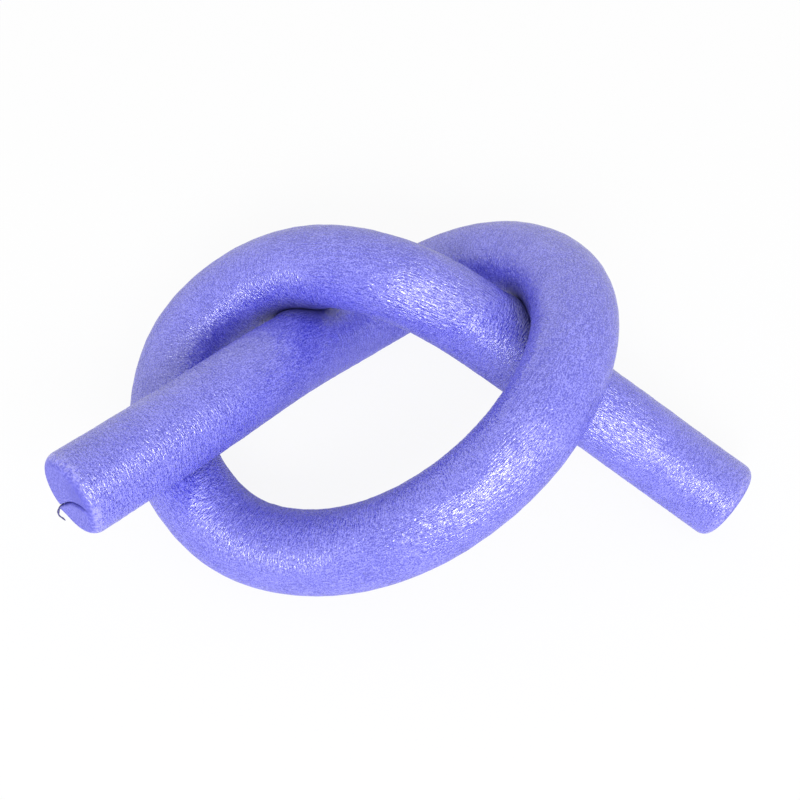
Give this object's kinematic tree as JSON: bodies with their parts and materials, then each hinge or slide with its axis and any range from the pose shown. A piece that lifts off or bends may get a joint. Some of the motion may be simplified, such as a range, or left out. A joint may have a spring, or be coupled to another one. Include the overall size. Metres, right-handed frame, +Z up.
{
  "type": "pool noodle",
  "caption": "Solid round foam pool noodle tied in an open overhand knot and lying flat, both cut ends plain, with a short knife slit in the left end.",
  "frame": {"origin": "on the floor, under the middle of the box round the knotted noodle", "axes": "+X from the slit left end towards the right end, +Y away from the viewer, +Z up"},
  "size_m": [0.5124, 0.3198, 0.18],
  "materials": {
    "noodle_foam": "extruded closed-cell polyethylene foam, violet-blue all through, fine wrinkled skin with a soft sheen",
    "sliver_foam": "a dirty torn strip of the same foam, dark violet-grey"
  },
  "bodies": {
    "root": {"foam_noodle": "noodle_foam", "foam_sliver": "sliver_foam"}
  },
  "joints": []
}
